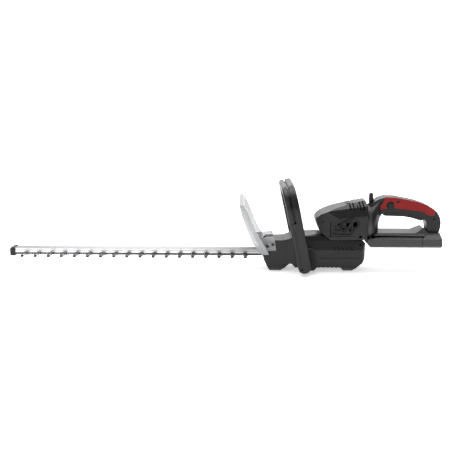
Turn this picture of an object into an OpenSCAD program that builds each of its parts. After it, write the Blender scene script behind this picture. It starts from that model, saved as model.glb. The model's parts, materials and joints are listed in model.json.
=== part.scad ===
// Cordless hedge trimmer with a double-sided blade.
// X runs along the blade with the tip at -X, Z is up, and the tool stands on its two feet at z = 0.
// Everything is placed from the crank shaft's axis, and the whole is then centred on the origin.

/* [Blades] */
// Distance from one tooth to the next
tooth_pitch = 31.3; // [28:0.1:38]
// Number of teeth along each side
tooth_count = 18; // [12:3:21]
// Reach of a tooth beyond the edge of the blade strip
tooth_reach = 27; // [20:1:33]
// Width of a tooth at its root
tooth_root_w = 13.5; // [11:0.5:18]
// Radius of the rounded tip of a tooth
tooth_tip_r = 3.8; // [3:0.1:4.5]
// Width of the ground cutting edge along each flank of a tooth
grind_w = 2.2; // [1.5:0.1:2.8]
// Width of the blade strip
blade_w = 24; // [20:1:28]
// Thickness of one blade
blade_t = 2.5; // [2.1:0.1:2.8]
// Travel of each blade from end to end
stroke = 16; // [13:1:19]
// Gap between sliding faces
slide_gap = 0.1; // [0.05:0.05:0.2]
// Height of the underside of the lower blade
blade_z = 33; // [30:1:38]

/* [Guide bar] */
// Width of the bar
bar_w = 24; // [20:1:28]
// Height of the bar
bar_h = 11; // [10:0.5:14]
// Thickness of the bar's walls
bar_wall = 2.4; // [2:0.1:3]
// Radius of the shoulder of a blade screw
shoulder_r = 3.4; // [2.9:0.1:4]
// Gap between a shoulder and the side of its slot
slot_gap = 0.35; // [0.3:0.05:0.6]
// Length of the cap at the tip
cap_len = 10; // [8:1:14]

/* [Gear train] */
// Gear module
gear_module = 1; // [0.9:0.05:1.1]
// Teeth on the drive gear
gear_teeth = 60; // [54:6:66]
// Teeth on the motor pinion
pinion_teeth = 12; // [12:1:14]
// Width of the gear teeth along the axis
gear_t = 8; // [6:1:10]
// Radius of the crank shaft
crank_r = 5; // [4:0.5:6]
// Radial clearance of a running fit
run_gap = 0.04; // [0.02:0.01:0.08]
// Wall left round a cam's shaft hole
cam_wall = 2; // [1.6:0.1:3]
// Room left between a cam and its slot at the tightest point of the stroke
cam_gap = 0.3; // [0.2:0.1:0.6]
// Thickness of the cast gear case walls
case_wall = 4; // [3:0.5:5]

/* [Motor] */
// Radius of the motor can
motor_r = 22; // [18:1:25]
// Length of the motor can
motor_len = 58; // [48:1:62]
// Radius of the motor shaft
motor_shaft_r = 2.5; // [2:0.5:3]

/* [Casings] */
// Thickness of the moulded walls
wall = 2.6; // [2.2:0.1:3.2]
// Gap between the gear case and the moulded body
body_gap = 1.6; // [1:0.1:3]
// Gap where two mouldings of the same body meet
seam = 0.15; // [0.1:0.05:0.3]
// Length of the nose in front of the crank axis
nose_len = 145; // [138:1:160]
// Half of the width of the nose
nose_half = 31; // [28:1:34]
// Lean of the motor pod above the body
pod_lean = 8; // [5:1:10]

/* [Hand shield] */
// Full width of the shield
shield_w = 180; // [150:5:216]
// Height of the top edge of the shield
shield_top = 168; // [150:1:180]
// Thickness of the clear sheet
shield_t = 3; // [2.5:0.1:3.5]

/* [Loop handle] */
// Full width of the loop
loop_w = 200; // [180:5:240]
// Height of the top of the loop
loop_top = 216; // [204:1:228]
// Depth of the loop along the tool
loop_d = 30; // [26:1:34]
// Thickness of the loop seen from the front
loop_t = 23; // [20:1:26]
// Lean of the loop towards the blade
loop_lean = 12.5; // [10:0.5:15]
// Travel of the front switch bar
bar_travel = 3; // [2:0.5:4]

/* [Swivel] */
// Height of the swivel axis
swivel_z = 114; // [112:1:118]
// Outer radius of the collar
collar_r = 44; // [42:1:46]
// Radius of the swivel spigot
spigot_r = 24; // [22:1:26]
// Clearance between the fixed and the turning side of the swivel
turn_gap = 0.6; // [0.4:0.1:1]

/* [Rear handle] */
// Width of the grip
grip_w = 34; // [30:1:38]
// Length of the rear handle behind the swivel face
handle_len = 175; // [168:1:184]
// Depth of the soft grip overlay
grip_skin = 1.2; // [0.8:0.1:1.6]
// Travel of the lock-off button
lock_travel = 3; // [2:0.5:4]

/* [Battery] */
// Width of the battery bay
bay_w = 84; // [80:1:90]
// Height of the underside of the bay
bay_z = 60; // [58:1:64]
// Height of the bay's roof
bay_top = 93; // [91:1:94]
// Radius of one cell
cell_r = 9.2; // [9:0.1:9.3]
// Length of one cell
cell_len = 65; // [60:1:66]
// Number of cells in a row
cell_count = 5; // [4:1:5]
// Sliding clearance of the pack in its bay
pack_gap = 0.5; // [0.3:0.1:0.8]

/* [Hidden] */
$fn = 48;

// Heights of the cutting deck and the gear train, from the bottom up
lower_top = blade_z + blade_t;
upper_z = lower_top + slide_gap;
upper_top = upper_z + blade_t;
bar_z = upper_top + slide_gap;
bar_top = bar_z + bar_h;
gear_z = upper_top + 6;
gear_top = gear_z + gear_t;
bearing_h = 6;
case_top = gear_top + 1 + bearing_h + 2;
case_z = blade_z - 1;
cover_z = case_z - 7;
motor_top = case_top + motor_len;
cap_top = motor_top + 6;

// Gear train in plan
gear_r = gear_module * gear_teeth / 2;
pinion_r = gear_module * pinion_teeth / 2;
gear_tip_r = gear_r + gear_module;
motor_x = gear_r + pinion_r;
throw = stroke / 2;
// A cam's sideways travel runs ahead of an even stroke by at most this share of its throw
cam_lead = 0.2105;
cam_room = throw * cam_lead + cam_gap;
cam_r = throw + crank_r + cam_wall;
yoke_half = cam_r + throw + cam_room + 4;
yoke_x = cam_r + cam_room + 5;
pocket_x = yoke_x + throw + 1;
gear_pocket_r = max(gear_tip_r + 1, 32);
case_half = max(gear_pocket_r, yoke_half + 0.8) + case_wall;
case_front = -(pocket_x + 8);
case_rear = motor_x + motor_r + 3;

// Casings in plan
body_half = case_half + body_gap + wall;
nose_x = -nose_len;
body_rear = case_rear + 35;
swivel_x = body_rear + 3;
pod_front = motor_x - 56;
handle_rear = swivel_x + handle_len;
bay_half = bay_w / 2;
grip_half = grip_w / 2;

// Blades in plan
last_tooth_x = nose_x - 40;
first_tooth_x = last_tooth_x - (tooth_count - 1) * tooth_pitch;
bar_front = first_tooth_x - 30;
bar_rear = case_front - 10;
blade_front = first_tooth_x - 20;
tip_x = bar_front - cap_len + 4;
guide_x0 = nose_x + 14;
guide_x1 = nose_x + 86;
tooth_screws = [for (i = [0 : 3 : tooth_count - 1]) first_tooth_x + i * tooth_pitch + 3];
guide_screws = [guide_x0 + 14, guide_x1 - 14];
screw_places = concat(tooth_screws, guide_screws);
washer_r = 8;
washer_t = 1.2;
thread_r = 2.4;
bar_bolt_places = [guide_x0 + 24, guide_x1 - 24];

// The whole tool is centred on the origin
shift_x = -(tip_x + handle_rear) / 2;

// Colours
moulded = "#2e2e30";
light_grey = "#58585a";
steel = "#b9bbbf";
cast = "#9a9ca0";
red = "#a32426";

// ---- shared shapes ----
module along_x(x0, x1) { translate([x0, 0, 0]) rotate([90, 0, 90]) linear_extrude(x1 - x0) children(); }
module along_y(y0, y1) { translate([0, y1, 0]) rotate([90, 0, 0]) linear_extrude(y1 - y0) children(); }
module along_z(z0, z1) { translate([0, 0, z0]) linear_extrude(z1 - z0) children(); }
module rod_x(r, x0, x1) { translate([x0, 0, 0]) rotate([0, 90, 0]) cylinder(r = r, h = x1 - x0); }
module rod_y(r, y0, y1) { translate([0, y1, 0]) rotate([90, 0, 0]) cylinder(r = r, h = y1 - y0); }
module rod_z(r, z0, z1) { translate([0, 0, z0]) cylinder(r = r, h = z1 - z0); }
module block(x, y, z) { translate([x[0], y[0], z[0]]) cube([x[1] - x[0], y[1] - y[0], z[1] - z[0]]); }
module both_sides() {
    children();
    mirror([0, 1, 0]) children();
}
module slot_2d(half, r) {
    square([2 * half, 2 * r], center = true);
    for (s = [-1, 1]) translate([s * half, 0]) circle(r = r);
}
module half_space(side) {
    block([-1000, 1000], side < 0 ? [-300, -seam / 2] : [seam / 2, 300], [-50, 400]);
}

// ---- cutting deck ----
module bar_outline() {
    polygon([
        [-bar_w / 2, 0], [bar_w / 2, 0], [bar_w / 2, bar_h * 0.45], [bar_w / 2 - 1, bar_h * 0.55],
        [bar_w / 2 - 1, bar_h - 1.5], [bar_w / 2 - 2.5, bar_h], [-bar_w / 2 + 2.5, bar_h],
        [-bar_w / 2 + 1, bar_h - 1.5], [-bar_w / 2 + 1, bar_h * 0.55], [-bar_w / 2, bar_h * 0.45]
    ]);
}

tunnel_half = bar_w / 2 - bar_wall - 1;
module guide_bar() {
    color(steel) difference() {
        along_x(bar_front, bar_rear) translate([0, bar_z]) bar_outline();
        block([bar_front - 1, bar_rear + 1], [-tunnel_half, tunnel_half],
            [bar_z + bar_wall, bar_top - bar_wall]);
        for (x = screw_places) translate([x, 0, 0]) rod_z(thread_r + 0.05, bar_z - 1, bar_z + bar_wall + 1);
        for (x = bar_bolt_places) translate([x, 0, 0])
            rod_z(case_screw_r + 0.05, bar_top - bar_wall - 1, bar_top + 1);
    }
}

// The cap wraps the end of the bar, and the blades run into a slot in it
module tip_guard() {
    cap_half = bar_w / 2 + 1.8;
    cap_z = blade_z - 3;
    cap_rear = bar_front + 6;
    color(moulded) {
        difference() {
            along_y(-cap_half, cap_half) polygon([
                [tip_x, cap_z + 2], [tip_x + 2, cap_z], [cap_rear, cap_z], [cap_rear, bar_top + 1.5],
                [tip_x + 3, bar_top + 1.5], [tip_x, bar_top - 2]
            ]);
            block([bar_front - 0.1, cap_rear + 1], [-bar_w / 2 - 0.1, bar_w / 2 + 0.1],
                [bar_z - 0.05, bar_top + 0.1]);
            block([blade_front - throw - 1, cap_rear + 1], [-blade_w / 2 - 0.5, blade_w / 2 + 0.5],
                  [blade_z - 0.5, bar_z]);
        }
        block([bar_front - 0.5, bar_front + 12], [-tunnel_half + 0.2, tunnel_half - 0.2],
              [bar_z + bar_wall + 0.2, bar_top - bar_wall - 0.2]);
    }
}

module blade_screws() {
    head_top = blade_z - slide_gap - washer_t;
    color(steel) for (x = screw_places) translate([x, 0, 0]) difference() {
        union() {
            rod_z(shoulder_r, head_top, bar_z);
            rod_z(thread_r, bar_z - 0.01, bar_z + bar_wall + 1.5);
            translate([0, 0, head_top - 4.2]) cylinder(r = 6.2, h = 4.2, $fn = 6);
            rod_z(3.6, head_top - 5.4, head_top);
        }
        translate([0, 0, head_top - 6]) cylinder(r = 2.2, h = 3, $fn = 6);
    }
}

module blade_washers() {
    color(steel) for (x = tooth_screws) translate([x, 0, 0]) difference() {
        rod_z(washer_r, blade_z - slide_gap - washer_t, blade_z - slide_gap);
        rod_z(shoulder_r + 0.1, blade_z - 5, blade_z);
    }
}

module blade_guide_plate() {
    color(cast) difference() {
        block([guide_x0, guide_x1], [-blade_w / 2 - 3, blade_w / 2 + 3],
              [blade_z - slide_gap - washer_t, blade_z - slide_gap]);
        for (x = guide_screws) translate([x, 0, 0]) rod_z(shoulder_r + 0.1, blade_z - 5, blade_z);
    }
}

module blade_wiper() {
    color("#7a7466") difference() {
        block([nose_x + 3.2, nose_x + 9], [-bar_w / 2 - 4, bar_w / 2 + 4], [blade_z - 3, bar_top + 2.5]);
        block([nose_x, nose_x + 12], [-bar_w / 2 - 0.3, bar_w / 2 + 0.3], [blade_z - 0.4, bar_top + 0.3]);
    }
}

// One tooth on the +Y side, from inside the strip to its rounded tip
// Its flanks are ground back from the top face, or from the underside
module tooth(z0, z1, top) {
    tip_y = blade_w / 2 + tooth_reach - tooth_tip_r;
    flank_turn = atan((tooth_root_w / 2 - tooth_tip_r) / (tooth_reach - tooth_tip_r));
    land = 0.7;
    grind_angle = atan((blade_t - land) / grind_w);
    difference() {
        union() {
            along_z(z0, z1) polygon([
                [-tooth_root_w / 2, blade_w / 2 - 1], [tooth_root_w / 2, blade_w / 2 - 1],
                [tooth_root_w / 2, blade_w / 2], [tooth_tip_r, tip_y], [-tooth_tip_r, tip_y],
                [-tooth_root_w / 2, blade_w / 2]
            ]);
            translate([0, tip_y, 0]) rod_z(tooth_tip_r, z0, z1);
        }
        for (m = [0, 1]) mirror([m, 0, 0])
            translate([tooth_root_w / 2, blade_w / 2, top ? z1 : z0]) rotate(flank_turn)
                translate([-grind_w, 0, 0]) rotate([0, top ? grind_angle : -grind_angle, 0])
                    block([0, 8], [2, tooth_reach - tooth_tip_r], top ? [0, 5] : [-5, 0]);
    }
}

module blade(z0, z1, top) {
    color("#4c4d50") difference() {
        union() {
            block([blade_front, -yoke_x + 1], [-blade_w / 2, blade_w / 2], [z0, z1]);
            block([-yoke_x, yoke_x], [-yoke_half, yoke_half], [z0, z1]);
            for (i = [0 : tooth_count - 1])
                translate([first_tooth_x + i * tooth_pitch, 0, 0]) both_sides() tooth(z0, z1, top);
        }
        for (x = screw_places) translate([x, 0, 0])
            along_z(z0 - 1, z1 + 1) slot_2d(throw, shoulder_r + slot_gap);
        along_z(z0 - 1, z1 + 1) rotate(90) slot_2d(throw, cam_r + cam_room);
    }
}
module upper_blade() { blade(upper_z, upper_top, true); }
module lower_blade() { blade(blade_z, lower_top, false); }

// ---- gear train ----
function involute(base_r, t) = base_r * [cos(t) + t * PI / 180 * sin(t), sin(t) - t * PI / 180 * cos(t)];
function turned(p, a) = [p[0] * cos(a) - p[1] * sin(a), p[0] * sin(a) + p[1] * cos(a)];
pressure_angle = 25;
backlash = 0.16;
module gear_2d(teeth) {
    pitch_r = gear_module * teeth / 2;
    base_r = pitch_r * cos(pressure_angle);
    tip_r = pitch_r + gear_module * 0.95;
    root_r = pitch_r - gear_module * 1.3;
    start = sqrt(max(0, pow(root_r / base_r, 2) - 1)) * 180 / PI;
    end = sqrt(pow(tip_r / base_r, 2) - 1) * 180 / PI;
    roll = tan(pressure_angle) * 180 / PI - pressure_angle;
    half_tooth = 90 / teeth - backlash / (4 * pitch_r) * 180 / PI;
    steps = 4;
    flank = [for (k = [0 : steps]) involute(base_r, start + (end - start) * k / steps)];
    right = [for (p = flank) turned(p, -half_tooth - roll)];
    left = [for (k = [steps : -1 : 0]) [right[k][0], -right[k][1]]];
    root_half = min(half_tooth + roll, 180 / teeth - 0.5);
    foot = [turned([root_r - 0.2, 0], -root_half)];
    foot_end = [turned([root_r - 0.2, 0], root_half)];
    tooth = concat(foot, right, left, foot_end);
    circle(r = root_r);
    for (i = [0 : teeth - 1]) rotate(i * 360 / teeth) polygon(tooth);
}

module gear_case() {
    tongue_half = bar_w / 2 + 2;
    color(cast) difference() {
        union() {
            block([case_front, case_rear], [-case_half, case_half], [case_z, case_top]);
            block([guide_x0, case_front + 1], [-tongue_half, tongue_half], [bar_top, bar_top + 5]);
        }
        rod_z(gear_pocket_r, gear_z - 1, gear_top + 1);
        translate([motor_x, 0, 0]) rod_z(pinion_r + 3.5, gear_z - 1, case_top + 1);
        block([-pocket_x, pocket_x], [-yoke_half - 0.8, yoke_half + 0.8], [case_z - 1, gear_z - 0.9]);
        block([case_front - 1, -pocket_x + 1], [-blade_w / 2 - 1, blade_w / 2 + 1],
            [case_z - 1, upper_top + 1]);
        rod_z(11, gear_top, gear_top + 1 + bearing_h);
        for (x = bar_bolt_places) translate([x, 0, 0]) rod_z(case_screw_r + 0.1, bar_top - 1, bar_top + 6);
        for (x = case_screw_x, y = case_screw_y) translate([x, y, 0])
            rod_z(case_screw_r + 0.05, case_z - 1, case_z + 14);
    }
}

case_screw_x = [case_front + 4, case_rear - 5];
case_screw_y = [-case_half + 4.5, case_half - 4.5];
module gear_case_cover() {
    color(cast) difference() {
        union() {
            block([case_front, case_rear], [-case_half, case_half], [cover_z, case_z]);
            rod_z(15, cover_z - 3, cover_z + 1);
        }
        rod_z(11, case_z - bearing_h, case_z + 1);
        for (x = case_screw_x, y = case_screw_y) translate([x, y, 0])
            rod_z(case_screw_r + 0.2, cover_z - 1, case_z + 1);
    }
}

case_screw_r = 1.9;
module case_screw(z, dir) {
    rod_z(case_screw_r, dir > 0 ? z - 0.01 : z - 6.5, dir > 0 ? z + 18 : z + 0.01);
    rod_z(3.6, dir > 0 ? z - 2.6 : z, dir > 0 ? z : z + 2.6);
}
module case_screws() {
    color(steel) {
        for (x = case_screw_x, y = case_screw_y) translate([x, y, 0]) case_screw(cover_z, 1);
        for (x = bar_bolt_places) translate([x, 0, 0]) case_screw(bar_top + 5, -1);
    }
}

module bearing(z) {
    difference() {
        rod_z(10.98, z, z + bearing_h);
        rod_z(crank_r + run_gap, z - 1, z + bearing_h + 1);
        difference() {
            rod_z(9.4, z + bearing_h - 0.5, z + bearing_h + 1);
            rod_z(crank_r + 1.4, z + bearing_h - 1, z + bearing_h + 1);
        }
        difference() {
            rod_z(9.4, z - 1, z + 0.5);
            rod_z(crank_r + 1.4, z - 1, z + 1);
        }
    }
}
module crank_bearings() {
    color(steel) {
        bearing(gear_top + 1);
        bearing(case_z - bearing_h);
    }
}

module crank_shaft() { color(steel) rod_z(crank_r, case_z - bearing_h + 0.5, gear_top + bearing_h + 0.6); }

module drive_gear() {
    color("#c8b98a") difference() {
        union() {
            along_z(gear_z, gear_top) gear_2d(gear_teeth);
            rod_z(crank_r + 4, gear_z - 3, gear_top + 0.5);
        }
        rod_z(crank_r, gear_z - 4, gear_top + 2);
        for (a = [30 : 60 : 330]) rotate(a) translate([gear_r * 0.6, 0, 0])
            rod_z(gear_r * 0.17, gear_z - 1, gear_top + 1);
    }
}

// Two cams, one for each blade, stand on opposite sides of the shaft
module cams() {
    color(steel) difference() {
        union() {
            translate([0, throw, 0]) rod_z(cam_r, upper_z + 0.05, upper_top - 0.05);
            translate([0, -throw, 0]) rod_z(cam_r, blade_z + 0.05, lower_top - 0.05);
            rod_z(crank_r + cam_wall - 0.4, blade_z - 0.2, gear_z - 3);
        }
        rod_z(crank_r, blade_z - 2, gear_z);
    }
}

// ---- motor ----
module motor_can() {
    color(steel) translate([motor_x, 0, 0]) difference() {
        union() {
            rod_z(motor_r, case_top, motor_top);
            rod_z(pinion_r + 3.3, case_top - 5, case_top + 1);
        }
        rod_z(motor_r - 1.6, case_top + 2, motor_top + 1);
        rod_z(5, case_top - 6, case_top + 3);
        for (a = [0 : 60 : 300]) rotate(a) translate([motor_r - 8, 0, 0])
            rod_z(2.6, case_top - 1, case_top + 3);
    }
}

module motor_magnets() {
    color("#3a3a3f") translate([motor_x, 0, 0]) for (a = [0, 180]) rotate(a) intersection() {
        difference() {
            rod_z(motor_r - 1.7, case_top + 9, motor_top - 12);
            rod_z(motor_r - 5.2, case_top + 8, motor_top - 11);
        }
        block([3, motor_r], [-motor_r, motor_r], [case_top, motor_top]);
    }
}

module motor_end_cap() {
    color("#222226") translate([motor_x, 0, 0]) difference() {
        union() {
            rod_z(motor_r, motor_top, cap_top);
            rod_z(motor_r - 1.7, motor_top - 2, motor_top + 1);
        }
        rod_z(5, motor_top - 3, cap_top + 1);
        for (a = [45 : 90 : 315]) rotate(a) translate([motor_r - 8, 0, 0])
            rod_z(3, motor_top - 3, cap_top + 1);
    }
}

module motor_bushes() {
    color("#b08d57") translate([motor_x, 0, 0]) for (z = [case_top - 4.5, cap_top - 6]) difference() {
        rod_z(4.98, z, z + 6);
        rod_z(motor_shaft_r + run_gap, z - 1, z + 7);
    }
}

module motor_brushes() {
    color("#2a2a2a") translate([motor_x, 0, 0]) for (a = [0, 180]) rotate(a)
        block([6.4, 13], [-2.5, 2.5], [motor_top - 9, motor_top - 2.01]);
}

module motor_shaft() {
    color(steel) translate([motor_x, 0, 0]) rod_z(motor_shaft_r, gear_z + 0.5, cap_top + 11);
}

module motor_pinion() {
    color(steel) translate([motor_x, 0, 0]) difference() {
        along_z(gear_z, gear_top) rotate(180 / pinion_teeth + (pinion_teeth % 2) * 180 / pinion_teeth)
            gear_2d(pinion_teeth);
        rod_z(motor_shaft_r, gear_z - 1, gear_top + 1);
    }
}

module armature() {
    armature_r = motor_r - 6;
    color("#9c5a2c") translate([motor_x, 0, 0]) difference() {
        rod_z(armature_r, case_top + 11, motor_top - 14);
        rod_z(motor_shaft_r, case_top, motor_top);
        for (a = [0 : 45 : 315]) rotate(a)
            block([armature_r * 0.55, armature_r + 1], [-1.1, 1.1], [case_top + 10, motor_top]);
    }
}

module commutator() {
    color("#b87333") translate([motor_x, 0, 0]) difference() {
        rod_z(6, motor_top - 12, motor_top - 2.5);
        rod_z(motor_shaft_r, motor_top - 13, motor_top);
        for (a = [0 : 45 : 315]) rotate(a) block([4.8, 7], [-0.3, 0.3], [motor_top - 13, motor_top]);
    }
}

module cooling_fan() {
    fan_r = motor_r - 3;
    color("#202022") translate([motor_x, 0, 0]) difference() {
        union() {
            rod_z(6, cap_top + 1, cap_top + 9);
            rod_z(fan_r, cap_top + 1, cap_top + 2.5);
            for (a = [0 : 40 : 320]) rotate(a)
                block([5, fan_r - 0.6], [-0.7, 0.7], [cap_top + 2, cap_top + 8]);
        }
        rod_z(motor_shaft_r, cap_top, cap_top + 10);
    }
}

board_x = case_rear + 9;
module control_board() {
    color("#1f5a34") {
        block([board_x, board_x + 1.6], [-27, 27], [14, 66]);
        block([board_x + 1.5, board_x + 12], [-22, -8], [24, 36]);
        block([board_x + 1.5, board_x + 8], [4, 20], [22, 32]);
        for (y = [-18, -8, 2]) translate([0, y, 0]) block([board_x + 1.5, board_x + 5], [0, 7], [46, 60]);
    }
}

// ---- casings ----
// Side outline of the low body, shrunk by d on every side
module body_side(d) {
    offset(delta = -d) polygon([
        [nose_x, 42], [nose_x + 4.5, 26], [nose_x + 18, 0], [nose_x + 44, 0], [nose_x + 64, 19],
        [nose_x + 70, 19], [nose_x + 78, 9.5], [case_rear - 20, 9.5], [case_rear - 13, 0],
        [case_rear + 8, 0], [case_rear + 29, 22], [body_rear - 1, 31], [body_rear, 38], [body_rear, 70],
        [body_rear - 6, 73.4], [body_rear - 8, 79],
        [pod_front + 34, 77], [pod_front + 18, 88], [pod_front + 4, 90], [nose_x + 72, 83],
        [nose_x + 52, 76], [nose_x + 10, 75], [nose_x + 1, 66]
    ]);
}
// Plan outline of the low body
module body_plan(d) {
    offset(delta = -d) polygon([
        [nose_x, -nose_half + 5], [nose_x + 6, -nose_half], [nose_x + 60, -nose_half - 2],
        [case_front - 18, -body_half], [body_rear - 6, -body_half], [body_rear, -body_half + 6],
        [body_rear, body_half - 6], [body_rear - 6, body_half], [case_front - 18, body_half],
        [nose_x + 60, nose_half + 2], [nose_x + 6, nose_half], [nose_x, nose_half - 5]
    ]);
}
// Section of the low body across the tool
module body_section(d) {
    foot_half = body_half - 17;
    offset(delta = -d) polygon([
        [-foot_half, 0], [foot_half, 0], [foot_half + 9, 8], [body_half, 26], [body_half, 54],
        [body_half - 4, 76], [body_half - 9, 86], [body_half - 20, 92], [-body_half + 20, 92],
        [-body_half + 9, 86], [-body_half + 4, 76], [-body_half, 54], [-body_half, 26],
        [-foot_half - 9, 8]
    ]);
}
module body_solid(d) {
    intersection() {
        along_y(-body_half - 1, body_half + 1) body_side(d);
        along_z(-1, 100) body_plan(d);
        along_x(nose_x - 1, body_rear + 1) body_section(d);
    }
}

rib_count = 5;
module body_features() {
    // long side recess behind the pads
    along_y(body_half - 1.4, body_half + 2) polygon([
        [case_front + 30, 33], [body_rear - 12, 34], [body_rear - 12, 51], [case_front + 62, 52],
        [case_front + 58, 46], [case_front + 52, 43], [case_front + 30, 42]
    ]);
    // slanted vent slots
    for (i = [0 : 4]) translate([case_front + 62 + i * 10.2, 0, 58]) rotate([0, -30, 0])
        block([-1.4, 1.4], [body_half - wall - 4, body_half + 2], [-5, 5]);
    // scalloped belly
    for (i = [0 : rib_count - 1]) translate([case_front + 34 + i * 10, 0, 6]) rod_y(4.6, 12, body_half + 2);
}

screw_posts = [
    [nose_x + 30, 66], [nose_x + 52, 19], [case_front - 14, 66], [body_rear - 12, 68], [case_rear + 6, 10]
];
module body_shell(side) {
    color(moulded) intersection() {
        half_space(side);
        difference() {
            union() {
                difference() {
                    body_solid(0);
                    body_solid(wall);
                }
                intersection() {
                    body_solid(0.5);
                    union() for (p = screw_posts) translate([p[0], 0, p[1]])
                        rod_y(4.5, -body_half, body_half);
                }
            }
            both_sides() body_features();
            for (p = screw_posts) translate([p[0], 0, p[1]]) rod_y(1.6, -body_half + 10, body_half + 2);
            for (p = screw_posts) translate([p[0], 0, p[1]]) rod_y(3.4, -body_half - 2, -nose_half + 6);
            // mouth for the bar and the blades
            block([nose_x - 2, nose_x + 8], [-bar_w / 2 - 1, bar_w / 2 + 1], [blade_z - 3, bar_top + 1]);
            block([nose_x + 2.9, nose_x + 9.2], [-bar_w / 2 - 4.2, bar_w / 2 + 4.2],
                [blade_z - 3.2, bar_top + 2.7]);
            for (p = shield_screw_places) translate([p[0], 0, p[1]]) rod_y(1.65, -flange_y - 1, flange_y + 1);
            // way up into the motor pod
            translate([motor_x, 0, 0]) rod_z(motor_r + 2, 60, 100);
            // belly vents
            for (x = [case_rear - 6 : 6 : case_rear + 6])
                block([x, x + 2.5], [-18, 18], [-2, wall + 2]);
        }
    }
}
module body_shell_left() { body_shell(-1); }
module body_shell_right() { body_shell(1); }

module body_screws() {
    color("#6d6e72") for (p = screw_posts) translate([p[0], 0, p[1]]) {
        rod_y(1.5, -body_half + 11, body_half - 15);
        rod_y(3.2, -body_half + 10.2, -body_half + 12.8);
    }
}

// Motor pod: a leaning shell on top of the body, open to the swivel at its rear
pod_rear = swivel_x - turn_gap;
module pod_side(d) {
    offset(delta = -d) polygon([
        [pod_front, 122], [pod_front + 1, 129], [pod_front + 12, 138], [pod_front + 45, 152],
        [pod_front + 92, 165], [pod_front + 115, 169], [pod_rear - 1, swivel_z + collar_r + 2],
        [pod_rear, swivel_z + collar_r - 1], [pod_rear, swivel_z - collar_r + 1], [pod_rear - 7, 80.2],
        [pod_front + 34, 78.2], [pod_front + 21, 87.5], [pod_front + 9, 98]
    ]);
}
module pod_plan(d) {
    front_half = body_half - 12;
    rear_half = collar_r - 1;
    offset(delta = -d) polygon([
        [pod_front, -front_half + 9], [pod_front + 6, -front_half], [pod_front + 50, -rear_half + 1],
        [pod_rear - 14, -rear_half], [pod_rear, -rear_half], [pod_rear, rear_half],
        [pod_rear - 14, rear_half],
        [pod_front + 50, rear_half - 1], [pod_front + 6, front_half], [pod_front, front_half - 9]
    ]);
}
module pod_section(d) {
    top = collar_r + 12;
    offset(delta = -d) polygon([
        [-18, top], [-34, top - 12], [-collar_r - 1, top - 38], [-collar_r - 1, -26], [-collar_r + 6, -60],
        [collar_r - 6, -60], [collar_r + 1, -26], [collar_r + 1, top - 38], [34, top - 12], [18, top]
    ]);
}
module pod_solid(d) {
    intersection() {
        along_y(-collar_r - 1, collar_r + 1) pod_side(d);
        along_z(70, 180) pod_plan(d);
        translate([pod_rear, 0, swivel_z]) rotate([0, -pod_lean, 0]) along_x(-160, 30) pod_section(d);
    }
}

panel_x0 = pod_front + 12;
module panel_outline(d) {
    offset(delta = -d) polygon([
        [panel_x0, 117], [panel_x0 + 71, 135], [panel_x0 + 89, 119], [panel_x0 + 70, 89], [panel_x0 + 8, 84]
    ]);
}
panel_y = collar_r - 4;
pod_posts = [[pod_front + 16, 120], [pod_rear - 24, 158], [pod_rear - 16, 87]];
module motor_cover(side) {
    color(moulded) intersection() {
        half_space(side);
        difference() {
            union() {
                difference() {
                    pod_solid(0);
                    pod_solid(wall);
                }
                intersection() {
                    pod_solid(0.5);
                    union() for (p = pod_posts) translate([p[0], 0, p[1]]) rod_y(4.2, -collar_r, collar_r);
                }
            }
            both_sides() along_y(panel_y - 6, collar_r + 3) panel_outline(0);
            // top vents
            for (i = [0, 1, 3, 4]) translate([pod_front + 79 + i * 7.6, 0, 152]) rotate([0, -pod_lean, 0])
                both_sides() block([-1.8, 1.8], [16, collar_r + 2], [-4, 20]);
            for (p = pod_posts) translate([p[0], 0, p[1]]) rod_y(1.6, -collar_r + 10, collar_r + 2);
            for (p = pod_posts) translate([p[0], 0, p[1]]) rod_y(3.4, -collar_r - 2, -collar_r + 12);
            // open floor round the motor and open rear for the swivel spigot
            translate([motor_x, 0, 0]) rod_z(motor_r + 2, 70, 110);
            rod_at_swivel(collar_r - 3.8, pod_rear - 8, pod_rear + 1);
        }
    }
}
module rod_at_swivel(r, x0, x1) { translate([0, 0, swivel_z]) rod_x(r, x0, x1); }
module motor_cover_left() { motor_cover(-1); }
module motor_cover_right() { motor_cover(1); }

// Vent panel: an arrow-shaped plate with a truss of triangular openings
module vent_panel(side) {
    mirror([0, side < 0 ? 1 : 0, 0]) color("#262628") difference() {
        intersection() {
            along_y(panel_y - 5, panel_y + 3) panel_outline(0.25);
            along_z(70, 180) pod_plan(2);
        }
        for (i = [0 : 4]) {
            x = panel_x0 + 36 + i * 9;
            along_y(panel_y - 6, panel_y + 4) polygon(
                i % 2 == 0 ? [[x, 111], [x + 9, 111], [x + 11, 118 + i * 1.2], [x + 2, 118 + i]]
                           : [[x + 1, 100], [x + 10, 100], [x + 8, 108], [x - 1, 108]]);
        }
    }
}
module vent_panel_left() { vent_panel(-1); }
module vent_panel_right() { vent_panel(1); }

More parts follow.
